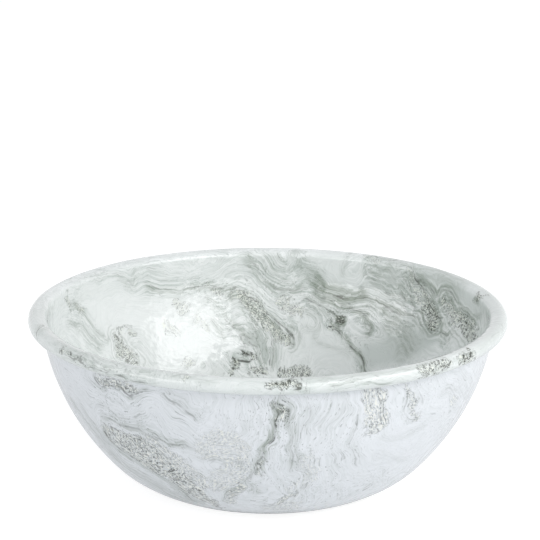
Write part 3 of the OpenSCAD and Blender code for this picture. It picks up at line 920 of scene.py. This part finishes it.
def makeGlaze(name, node, visible, hidden, food, style, shape, lengths):
    # A glass coat as a closed shell. visible and hidden are the lines of its two faces from the axis
    # outwards. The visible face sinks by up to waviness, as fired glass does, and never rises above its line.
    ringCount = shape["ringCount"]
    loop = np.concatenate((visible, hidden[::-1]))
    shown = slice(ringCount, len(visible) * ringCount)
    # Normals stand to the left of the line's run
    run = np.gradient(visible, axis=0)
    out = np.stack((-run[:, 1], run[:, 0]), 1) * (1 if food else -1)
    out /= np.maximum(np.linalg.norm(out, axis=1), 1e-9)[:, None]
    normals, surface = turned(out, ringCount)[shown], turned(visible, ringCount)[shown]
    # The flat chart: the length along the line from the axis stands in for the radius
    chart = turned(np.stack((lengths, lengths), 1), ringCount)[shown, :2]
    sink = np.zeros(len(surface))
    for length, depth, seed in shape["waviness"]:
        sink += depth * (1 - np.tanh(waves(surface, length, seed))) / 2
    for angle in shape["pinAngles"]:
        off = np.hypot(*(surface[:, :2] - along(angle) * pinRadius).T)
        mark = (surface[:, 2] < bowl["panelRise"] + 0.01) & (off < bowl["pinSize"])
        sink[mark] += shape["pinDepth"] * eased(bowl["pinSize"] / 2, bowl["pinTip"] / 2, off[mark])
    moved = np.zeros(((len(loop) - 2) * ringCount, 3))
    moved[:len(surface)] = -normals * sink[:, None]
    piece, points = turnedMesh(name, loop, ringCount, moved)

    def onSection(places):
        return np.interp(places, lengths, visible[:, 0]), np.interp(places, lengths, visible[:, 1])

    fields = marblingFields(surface, normals, chart, onSection, style, shape["copies"], ringCount)
    for label, values in fields.items():
        full = np.zeros(len(points))
        full[:len(surface)] = values
        full[len(points) - 2] = values[:ringCount].mean()  # the pole in the middle of the visible face
        setField(piece, label, full)
    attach(piece, "root")
    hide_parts(node)
    print("glaze:", name, len(piece.data.vertices), "points")
    return piece


insideShape = {
    "ringCount": 480,
    "steps": (3.0, 0.9, 1.15, 1.0),     # mm between rings on the flat base, in its bends, on the wall and lip
    "beadStep": 0.8,
    "shoulder": {"wallRadius": 120.0, "radius": 3.5, "centreHeight": 90.8, "wallFrom": 76.0,    # mm
                 "wallSteps": 14},
    "waviness": ((11.0, 0.050, 5), (30.0, 0.060, 6)),  # wave length and depth in mm, and a seed
    "pinAngles": (),
    # Each copy of the veins: degrees round, 1 or -1 for mirrored, mm along and strength
    "copies": ((0, 1, 0, 1.0), (178, 1, -7, 1.0), (203, 1, -80, 0.8), (152, -1, -87, 0.8)),
}
outsideShape = {
    "ringCount": 540,
    "steps": (2.2, 0.9, 1.15, 1.0),
    "pinSteps": (1.6, 0.2),             # mm: half width of the close rings' band at the pin marks, their step
    "waviness": ((11.0, 0.045, 7), (30.0, 0.060, 8)),
    "pinAngles": bowl["pinAngles"],
    "pinDepth": 0.94 * bowl["cover"],
    "copies": ((0, 1, 0, 1.0), (176, 1, -5, 1.0), (40, 1, -95, 0.75)),
}
hiddenSteps = {"wall": (26.0, 1.5, 9.0, 5.0), "bead": 2.0, "end": 0.3}  # mm between the hidden faces' rings

skinDepth, hollowDepth = -bowl["skin"], bowl["sheet"] + bowl["ground"]
panelEdge = bowl["panelCentre"][0]
pinRadius = panelEdge - bowl["pinInset"]
drawnWall = wallLine(skinDepth, insideShape["steps"])
roll = [rollLine(skinDepth, n, n + 1, insideShape["beadStep"]) for n in range(3)]
shouldered, wallCount, beadCount = shoulderedLine(drawnWall, insideShape["shoulder"], insideShape["beadStep"])
insideVisible = np.concatenate([shouldered] + roll[1:])
# The marbling's lengths along the face are the drawn line's on the bead, and ease into them on the shoulder
insideLengths = distancesAlong(insideVisible)
surplus = insideLengths[-1] - distancesAlong(np.concatenate([drawnWall] + roll))[-1]
wallLength, beadLength = insideLengths[wallCount - 1], insideLengths[len(shouldered) - beadCount]
insideLengths -= surplus * np.clip((insideLengths - wallLength) / (beadLength - wallLength), 0, 1)
insideHidden = np.concatenate([wallLine(-bowl["ground"], hiddenSteps["wall"])]
                              + [rollLine(-bowl["ground"], n, n + 1, hiddenSteps["bead"]) for n in range(2)]
                              + [rollPoint(hollowDepth, 2), rollLine(hollowDepth, 2, 3, hiddenSteps["end"])])
insideGlaze = makeGlaze("inside_marbled_glaze", "cover_coat_inside",
                        insideVisible, insideHidden, True, insideMarbling, insideShape, insideLengths)

drawnWall = wallLine(bowl["outer"], outsideShape["steps"])
flatStep, (pinBand, pinStep) = outsideShape["steps"][0], outsideShape["pinSteps"]
closeFrom, closeTo = (pinRadius - pinBand, 0), (pinRadius + pinBand, 0)
panelRings = np.concatenate((straight((0, 0), closeFrom, flatStep), straight(closeFrom, closeTo, pinStep),
                             straight(closeTo, (panelEdge, 0), flatStep)))
outsideVisible = np.concatenate((drawnWall[:1], panelRings + (0, drawnWall[0, 1]),
                                 drawnWall[drawnWall[:, 0] > panelEdge + 1e-6]))
outsideGlaze = makeGlaze("outside_marbled_glaze", "cover_coat_outside",
                         outsideVisible, wallLine(hollowDepth, hiddenSteps["wall"]), False,
                         outsideMarbling, outsideShape, distancesAlong(outsideVisible))


# Finishes

# The points' fields that the marbling reads, with the values of a place that no vein or patch touches
fieldInputs = {
    "flow": 0.0, "pace": 0.0, "run": 0.0, "sage": 0.0, "lively": 0.0, "lineAway": 9.0, "lineInk": 0.0,
    "speckEdge": -3.0, "speckInk": 0.0, "rings": 0.0, "quiet": 0.0, "wash": 0.0,
}

glazeLooks = {
    "inside_marbled_glaze": {
        "groundColor": (0.905, 0.925, 0.91), "shadeColor": (0.60, 0.645, 0.615),
        "sageColor": (0.25, 0.295, 0.24), "inkColor": (0.05, 0.056, 0.042), "fleckColor": (0.84, 0.86, 0.78),
        "waver": 0.5, "streakStrength": 1.0, "calm": 0.20, "dashes": 0.45},
    "outside_marbled_glaze": {
        "groundColor": (0.79, 0.81, 0.83), "shadeColor": (0.61, 0.64, 0.64),
        "sageColor": (0.27, 0.305, 0.26), "inkColor": (0.06, 0.066, 0.056), "fleckColor": (0.86, 0.86, 0.80),
        "waver": 0.5, "streakStrength": 0.68, "calm": 0.36, "dashes": 0.68},
}

marbleGrain = {
    "wavers": ((24.0, 11.0), (8.5, 2.8), (3.2, 1.2), (1.3, 0.7)),   # size and reach in mm
    # Noise drawn out along the lines: mm across and along them, its own layer, and its detail and roughness
    "band": (7.0, 70.0, 0.0, 2.0, 0.55),
    "streak": (1.75, 36.0, 4.0, 2.0, 0.6),
    "fine": (0.85, 12.0, 8.0),
    "dash": (0.85, 2.3, 12.0),
    "speckle": (0.85, 1.8, 30.0),
    "lace": (1.6, 3.0, 20.0),
    "layerStep": 50.0,          # between the layers of two neighbouring rates
    # Plain noise, in mm
    "zone": 38.0, "phase": 16.0, "breaks": 6.0, "ragged": 5.5, "rim": 9.0, "laceGaps": 2.4, "grit": 0.95,
}

# The values of a signal between which its effect comes up, and then its effect there where that isn't 0 and 1
marbleRamps = {
    "zone": (0.42, 0.66), "band": (0.42, 0.64), "streak": (0.44, 0.62), "fine": (0.42, 0.64),
    "beside": (9.0, 3.0, 0.0, 0.5), "lined": (0.38, 0.60), "fineLined": (0.40, 0.66),
    "deep": (1.8, 2.6), "deepFine": (0.30, 0.60, 0.3, 0.9),
    "thread": (0.022, 0.0), "threadBand": (0.40, 0.60, 0.15, 0.75), "dash": (0.60, 0.73),
    "breaks": (0.32, 0.62), "line": (1.0, 0.15),
    "ringsOut": (-2.6, -0.9), "ringsIn": (0.4, -0.3), "ringDark": (-0.1, 0.95), "ringPale": (-0.5, -1.0),
    "patch": (-0.35, 0.75), "inked": (0.0, 0.4), "rim": (0.14, 0.0), "rimGaps": (0.45, 0.62),
    "lace": (0.15, 0.02), "laceGaps": (0.42, 0.60), "dots": (0.545, 0.655), "pale": (0.47, 0.37),
    "specks": (0.0, 0.35),
}

marbleShares = {
    # Strength of each kind of line: what liveliness adds, and what shows everywhere
    "lines": {"band": (0.28, 0.05), "streak": (0.50, 0.06), "fine": (0.50, 0.10)},
    "zone": 0.30, "quiet": 0.4,     # liveliness of a zone, and what a quiet place keeps of the lines
    # Ripple beside a vein: its share of the waver, radians for each mm, phase, height and middle
    "ripple": (0.6, 1.5, 5.0, 0.13, 0.48),
    "sage": (0.52, 0.30, 0.27, 0.9),            # lined and fine parts, what is always there, and all of it
    "thread": 0.53,                             # value of the lined signal where a thin line runs
    "width": (0.65, 0.30), "inkWidth": (0.6, 0.6), "lineBreaks": (0.7, 0.25), "line": 0.85,
    "rings": (1.1, 6.5),                        # raggedness, and radians for each unit of Speck Edge
    "edge": (3.6, 1.6), "rimAt": 0.05, "grit": 0.6, "sparse": 0.14,
    "patch": 0.26, "pale": 0.85, "lace": 0.65, "rim": 0.5, "specks": 0.95,
}

glazeFinish = {
    "roughness": 0.042, "speckRoughness": 0.05, "ior": 1.57,
    "peelDistance": 0.00056, "peelStrength": 0.7,       # metres, and a share
    "peel": {"Coarse Size": 5.5, "Fine Size": 2.0, "Fine Share": 0.15},     # mm
}

# Colours and roughnesses are two ends that a noise runs between. Noise scales are per metre.
groundFinish = {
    "colors": ((0.035, 0.042, 0.06), (0.07, 0.08, 0.10)), "roughness": (0.16, 0.32), "cloud": 60.0,
    "pits": 900.0, "pitColor": (0.25, 0.27, 0.28), "bump": (0.4, 0.0001),
}
steelFinish = {
    "colors": ((0.36, 0.36, 0.37), (0.48, 0.48, 0.49)), "roughness": (0.3, 0.5), "cloud": 40.0,
    "grain": 700.0, "bump": (0.2, 0.00005),
}


def labelOf(name):
    # A socket's label from a name: lineAway gives Line Away
    return "".join(" " + c if c.isupper() else c for c in name).title()


def socketValues(values):
    return {labelOf(key): rgb(*value) if isinstance(value, tuple) else value for key, value in values.items()}


def makeMarbledGlass():
    # Streaks of colour along the flow lines, drawn veins, and patches of dark specks
    tree, take, give = newGroup("marbledGlass", socketValues(
        {**fieldInputs, **glazeLooks["inside_marbled_glaze"]}), ("Color", "Specks"))
    ground, shaded, sageTone, ink, fleck = (
        take[name + " Color"] for name in ("Ground", "Shade", "Sage", "Ink", "Fleck"))
    point = objectPlace(tree, 1 / metres)
    grain, ramps, shares = marbleGrain, marbleRamps, marbleShares

    def noise(name, detail=1.0, roughness=0.5):
        return noiseOf(tree, point, 1 / grain[name], detail, roughness)

    def stretched(flow, acrossSize, lengthSize, layer):
        places = {0: flow / acrossSize, 1: take["Run"] / lengthSize, 2: layer}
        return outOf(tree, "ShaderNodeCombineXYZ", places)

    waver = sum((noiseOf(tree, point, 1 / size, 1.0) - 0.5) * reach for size, reach in grain["wavers"])
    waver = waver * take["Waver"]
    # Where the flow changes slowly its lines would be far apart, so the noise there runs at twice, four times
    # and so on the rate. Two neighbouring rates are mixed.
    across = waver * 2.0 ** (take["Pace"] * -1.0) + take["Flow"]
    whole = take["Pace"].math("FLOOR")
    share = take["Pace"] - whole
    slower = across * 2.0 ** whole
    faster = slower * 2.0
    rest = 1.0 - share
    evener = (share * share + rest * rest).math("INVERSE_SQRT")

    def paced(acrossSize, lengthSize, layer, detail=1.0, roughness=0.5):
        first, second = (
            noiseOf(tree, stretched(flow, acrossSize, lengthSize, layer + step), 1.0, detail, roughness)
            for flow, step in ((slower, 0.0), (faster, grain["layerStep"])))
        return ((second - first) * share + first - 0.5) * evener + 0.5

    signals = {name: paced(*grain[name]) for name in ("band", "streak", "fine", "dash", "speckle")}
    band, streak, fine, dash, speckle = signals.values()
    # How strongly the fine work shows: more beside the veins, and here and there elsewhere
    calm = noise("zone").ramp(*ramps["zone"]) * shares["zone"] + take["Calm"]
    loud = 1.0 - take["Quiet"]
    lively = take["Lively"].math("MAXIMUM", calm, clamp=True) * loud
    shade = sum(signals[name].ramp(*ramps[name]) * (lively * more + least)
                for name, (more, least) in shares["lines"].items())
    shade = shade * (loud * (1 - shares["quiet"]) + shares["quiet"]) * take["Streak Strength"]
    # The ground darkened towards the shade colour: the glaze's own tone in places, painted shade on the rim
    # and the right wall
    color = blendColor(tree, take["Wash"], ground, shaded)
    color = blendColor(tree, shade, color, shaded)
    # Sage bands with paler and darker lines in them. Beside a vein they run evenly, like a ripple's rings.
    wavering, pace, phaseReach, height, middle = shares["ripple"]
    sage = take["Sage"].math("MAXIMUM", 0.0)
    beside = waver * wavering + take["Line Away"]
    phase = noise("phase") * phaseReach
    ripple = (beside * pace + phase).math("COSINE") * height + middle
    lined = (ripple - streak) * abs(beside).ramp(*ramps["beside"]) + streak
    forLined, forFine, always, overall = shares["sage"]
    body = lined.ramp(*ramps["lined"]) * forLined + fine.ramp(*ramps["fineLined"]) * forFine + always
    color = blendColor(tree, body * sage * overall, color, sageTone)
    color = blendColor(tree, sage.ramp(*ramps["deep"]) * fine.ramp(*ramps["deepFine"]), color, ink)
    # Thin lines between the bands
    thread = abs(lined - shares["thread"]).ramp(*ramps["thread"]) * lively * lively
    color = blendColor(tree, thread * band.ramp(*ramps["threadBand"]), color, sageTone)
    # Short dark dashes strewn along the flow
    color = blendColor(tree, dash.ramp(*ramps["dash"]) * lively * take["Dashes"], color, ink)
    # Drawn dark lines, a little ragged and broken
    breaks = noise("breaks", 2.0).ramp(*ramps["breaks"])
    width, inkWidth, kept = (signal * more + least for signal, (more, least) in (
        (breaks, shares["width"]), (take["Line Ink"], shares["inkWidth"]), (breaks, shares["lineBreaks"])))
    line = (abs(take["Line Away"] + waver) / (width * inkWidth)).ramp(*ramps["line"])
    line = (line * take["Line Ink"]).math("MULTIPLY", kept, clamp=True)
    color = blendColor(tree, line * shares["line"], color, ink)
    # Contour lines that follow the edge of a patch
    ragged = noise("ragged", 3.0, 0.6) - 0.5
    around = ragged * shares["rings"][0] + take["Speck Edge"]
    ring = (around * shares["rings"][1] + phase).math("COSINE")
    ringed = around.ramp(*ramps["ringsOut"]) * around.ramp(*ramps["ringsIn"]) * take["Rings"]
    color = blendColor(tree, ring.ramp(*ramps["ringDark"]) * ringed, color, sageTone)
    color = blendColor(tree, ring.ramp(*ramps["ringPale"]) * ringed, color, ground)
    # Speckled patches: a little shade, pale flecks, and dark specks, lace and broken rims
    speckInk = take["Speck Ink"]
    edge = ragged * shares["edge"][0] + take["Speck Edge"] + (streak - 0.5) * shares["edge"][1]
    patch = edge.ramp(*ramps["patch"]) * speckInk.ramp(*ramps["inked"])
    rim = abs(edge - shares["rimAt"]).ramp(*ramps["rim"]) * speckInk * noise("rim").ramp(*ramps["rimGaps"])
    cells = {"Vector": stretched(slower, *grain["lace"]), "Scale": 1.0, "Randomness": 1.0}
    lace = outOf(tree, "ShaderNodeTexVoronoi", cells, "Distance", feature="DISTANCE_TO_EDGE")
    lace = lace.ramp(*ramps["lace"]) * noise("laceGaps").ramp(*ramps["laceGaps"])
    speckle = (noise("grit") - 0.5) * shares["grit"] + speckle
    sparse = (1.0 - patch) * shares["sparse"]
    dots = (speckle - sparse).ramp(*ramps["dots"])
    pale = (speckle + sparse).ramp(*ramps["pale"])
    color = blendColor(tree, patch * patch * speckInk * shares["patch"], color, sageTone)
    color = blendColor(tree, pale * patch * shares["pale"], color, fleck)
    specks = (lace * shares["lace"]).math("MAXIMUM", dots) * patch.ramp(*ramps["specks"])
    specks = specks.math("MULTIPLY", speckInk, clamp=True).math("MAXIMUM", rim * shares["rim"])
    feed(tree, give["Color"], blendColor(tree, specks * shares["specks"], color, ink))
    feed(tree, give["Specks"], specks)
    return tree


def makeOrangePeel():
    # The slow ripple of fired glass, as a height from 0 to 1
    tree, take, give = newGroup("orangePeel", glazeFinish["peel"], ("Height",))
    point = objectPlace(tree, 1 / metres)
    coarse, fine = (noiseOf(tree, point, 1.0 / take[size], 1.0) for size in ("Coarse Size", "Fine Size"))
    feed(tree, give["Height"], fine * take["Fine Share"] + coarse)
    return tree


marbledGlass = makeMarbledGlass()
orangePeel = makeOrangePeel()


def glazeMaterial(piece):
    material, tree, shader = newMaterial(piece.name + "_finish")
    inputs = {labelOf(field): outOf(tree, "ShaderNodeAttribute", output="Fac", attribute_name=field,
                                    attribute_type="GEOMETRY") for field in fieldInputs}
    inputs.update(socketValues(glazeLooks[piece.name]))
    marble = placeGroup(tree, marbledGlass, inputs)
    peel = placeGroup(tree, orangePeel, glazeFinish["peel"])
    feed(tree, shader["Base Color"], marble["Color"])
    rough = marble["Specks"] * glazeFinish["speckRoughness"] + glazeFinish["roughness"]
    feed(tree, shader["Roughness"], rough)
    feed(tree, shader["Normal"], bumped(tree, peel["Height"], glazeFinish["peelStrength"],
                                        glazeFinish["peelDistance"]))
    feed(tree, shader["IOR"], glazeFinish["ior"])
    piece.data.materials.append(material)


def cloudyMaterial(name, look, detail):
    # What the ground coat and the steel share: colour and roughness that run between two ends
    material, tree, shader = newMaterial(name + "_finish")
    place = objectPlace(tree)
    cloud = noiseOf(tree, place, look["cloud"], detail)
    color = blendColor(tree, cloud, *(rgb(*end) for end in look["colors"]))
    return material, tree, shader, place, cloud, color


def groundMaterial(name):
    # Near-black blue ground coat with fine pale pits
    material, tree, shader, place, cloud, color = cloudyMaterial(name, groundFinish, 3.0)
    pits = noiseOf(tree, place, groundFinish["pits"], 2.0).ramp(0.62, 0.75)
    color = blendColor(tree, pits * 0.3, color, rgb(*groundFinish["pitColor"]))
    feed(tree, shader["Base Color"], color)
    feed(tree, shader["Roughness"], cloud.ramp(0.3, 0.7, *groundFinish["roughness"]))
    feed(tree, shader["Normal"], bumped(tree, pits, *groundFinish["bump"]))
    return material


def steelMaterial():
    # Cold-rolled sheet: cloudy grey with fine grain
    material, tree, shader, place, cloud, color = cloudyMaterial("steel", steelFinish, 2.0)
    grain = noiseOf(tree, place, steelFinish["grain"], 3.0)
    feed(tree, shader["Base Color"], color)
    feed(tree, shader["Roughness"], grain.ramp(0.3, 0.7, *steelFinish["roughness"]))
    feed(tree, shader["Normal"], bumped(tree, grain, *steelFinish["bump"]))
    feed(tree, shader["Metallic"], 1.0)
    return material


def refinish(nodeName, material):
    # Gives a carried-over CAD node the material in every slot
    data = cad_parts[nodeName].data
    if not data.materials:
        data.materials.append(material)
    for n in range(len(data.materials)):
        data.materials[n] = material


for glaze in (insideGlaze, outsideGlaze):
    glazeMaterial(glaze)
for nodeName in ("ground_coat_inside", "ground_coat_outside"):
    refinish(nodeName, groundMaterial(nodeName))
refinish("steel_shell", steelMaterial())
print("finishes: done")
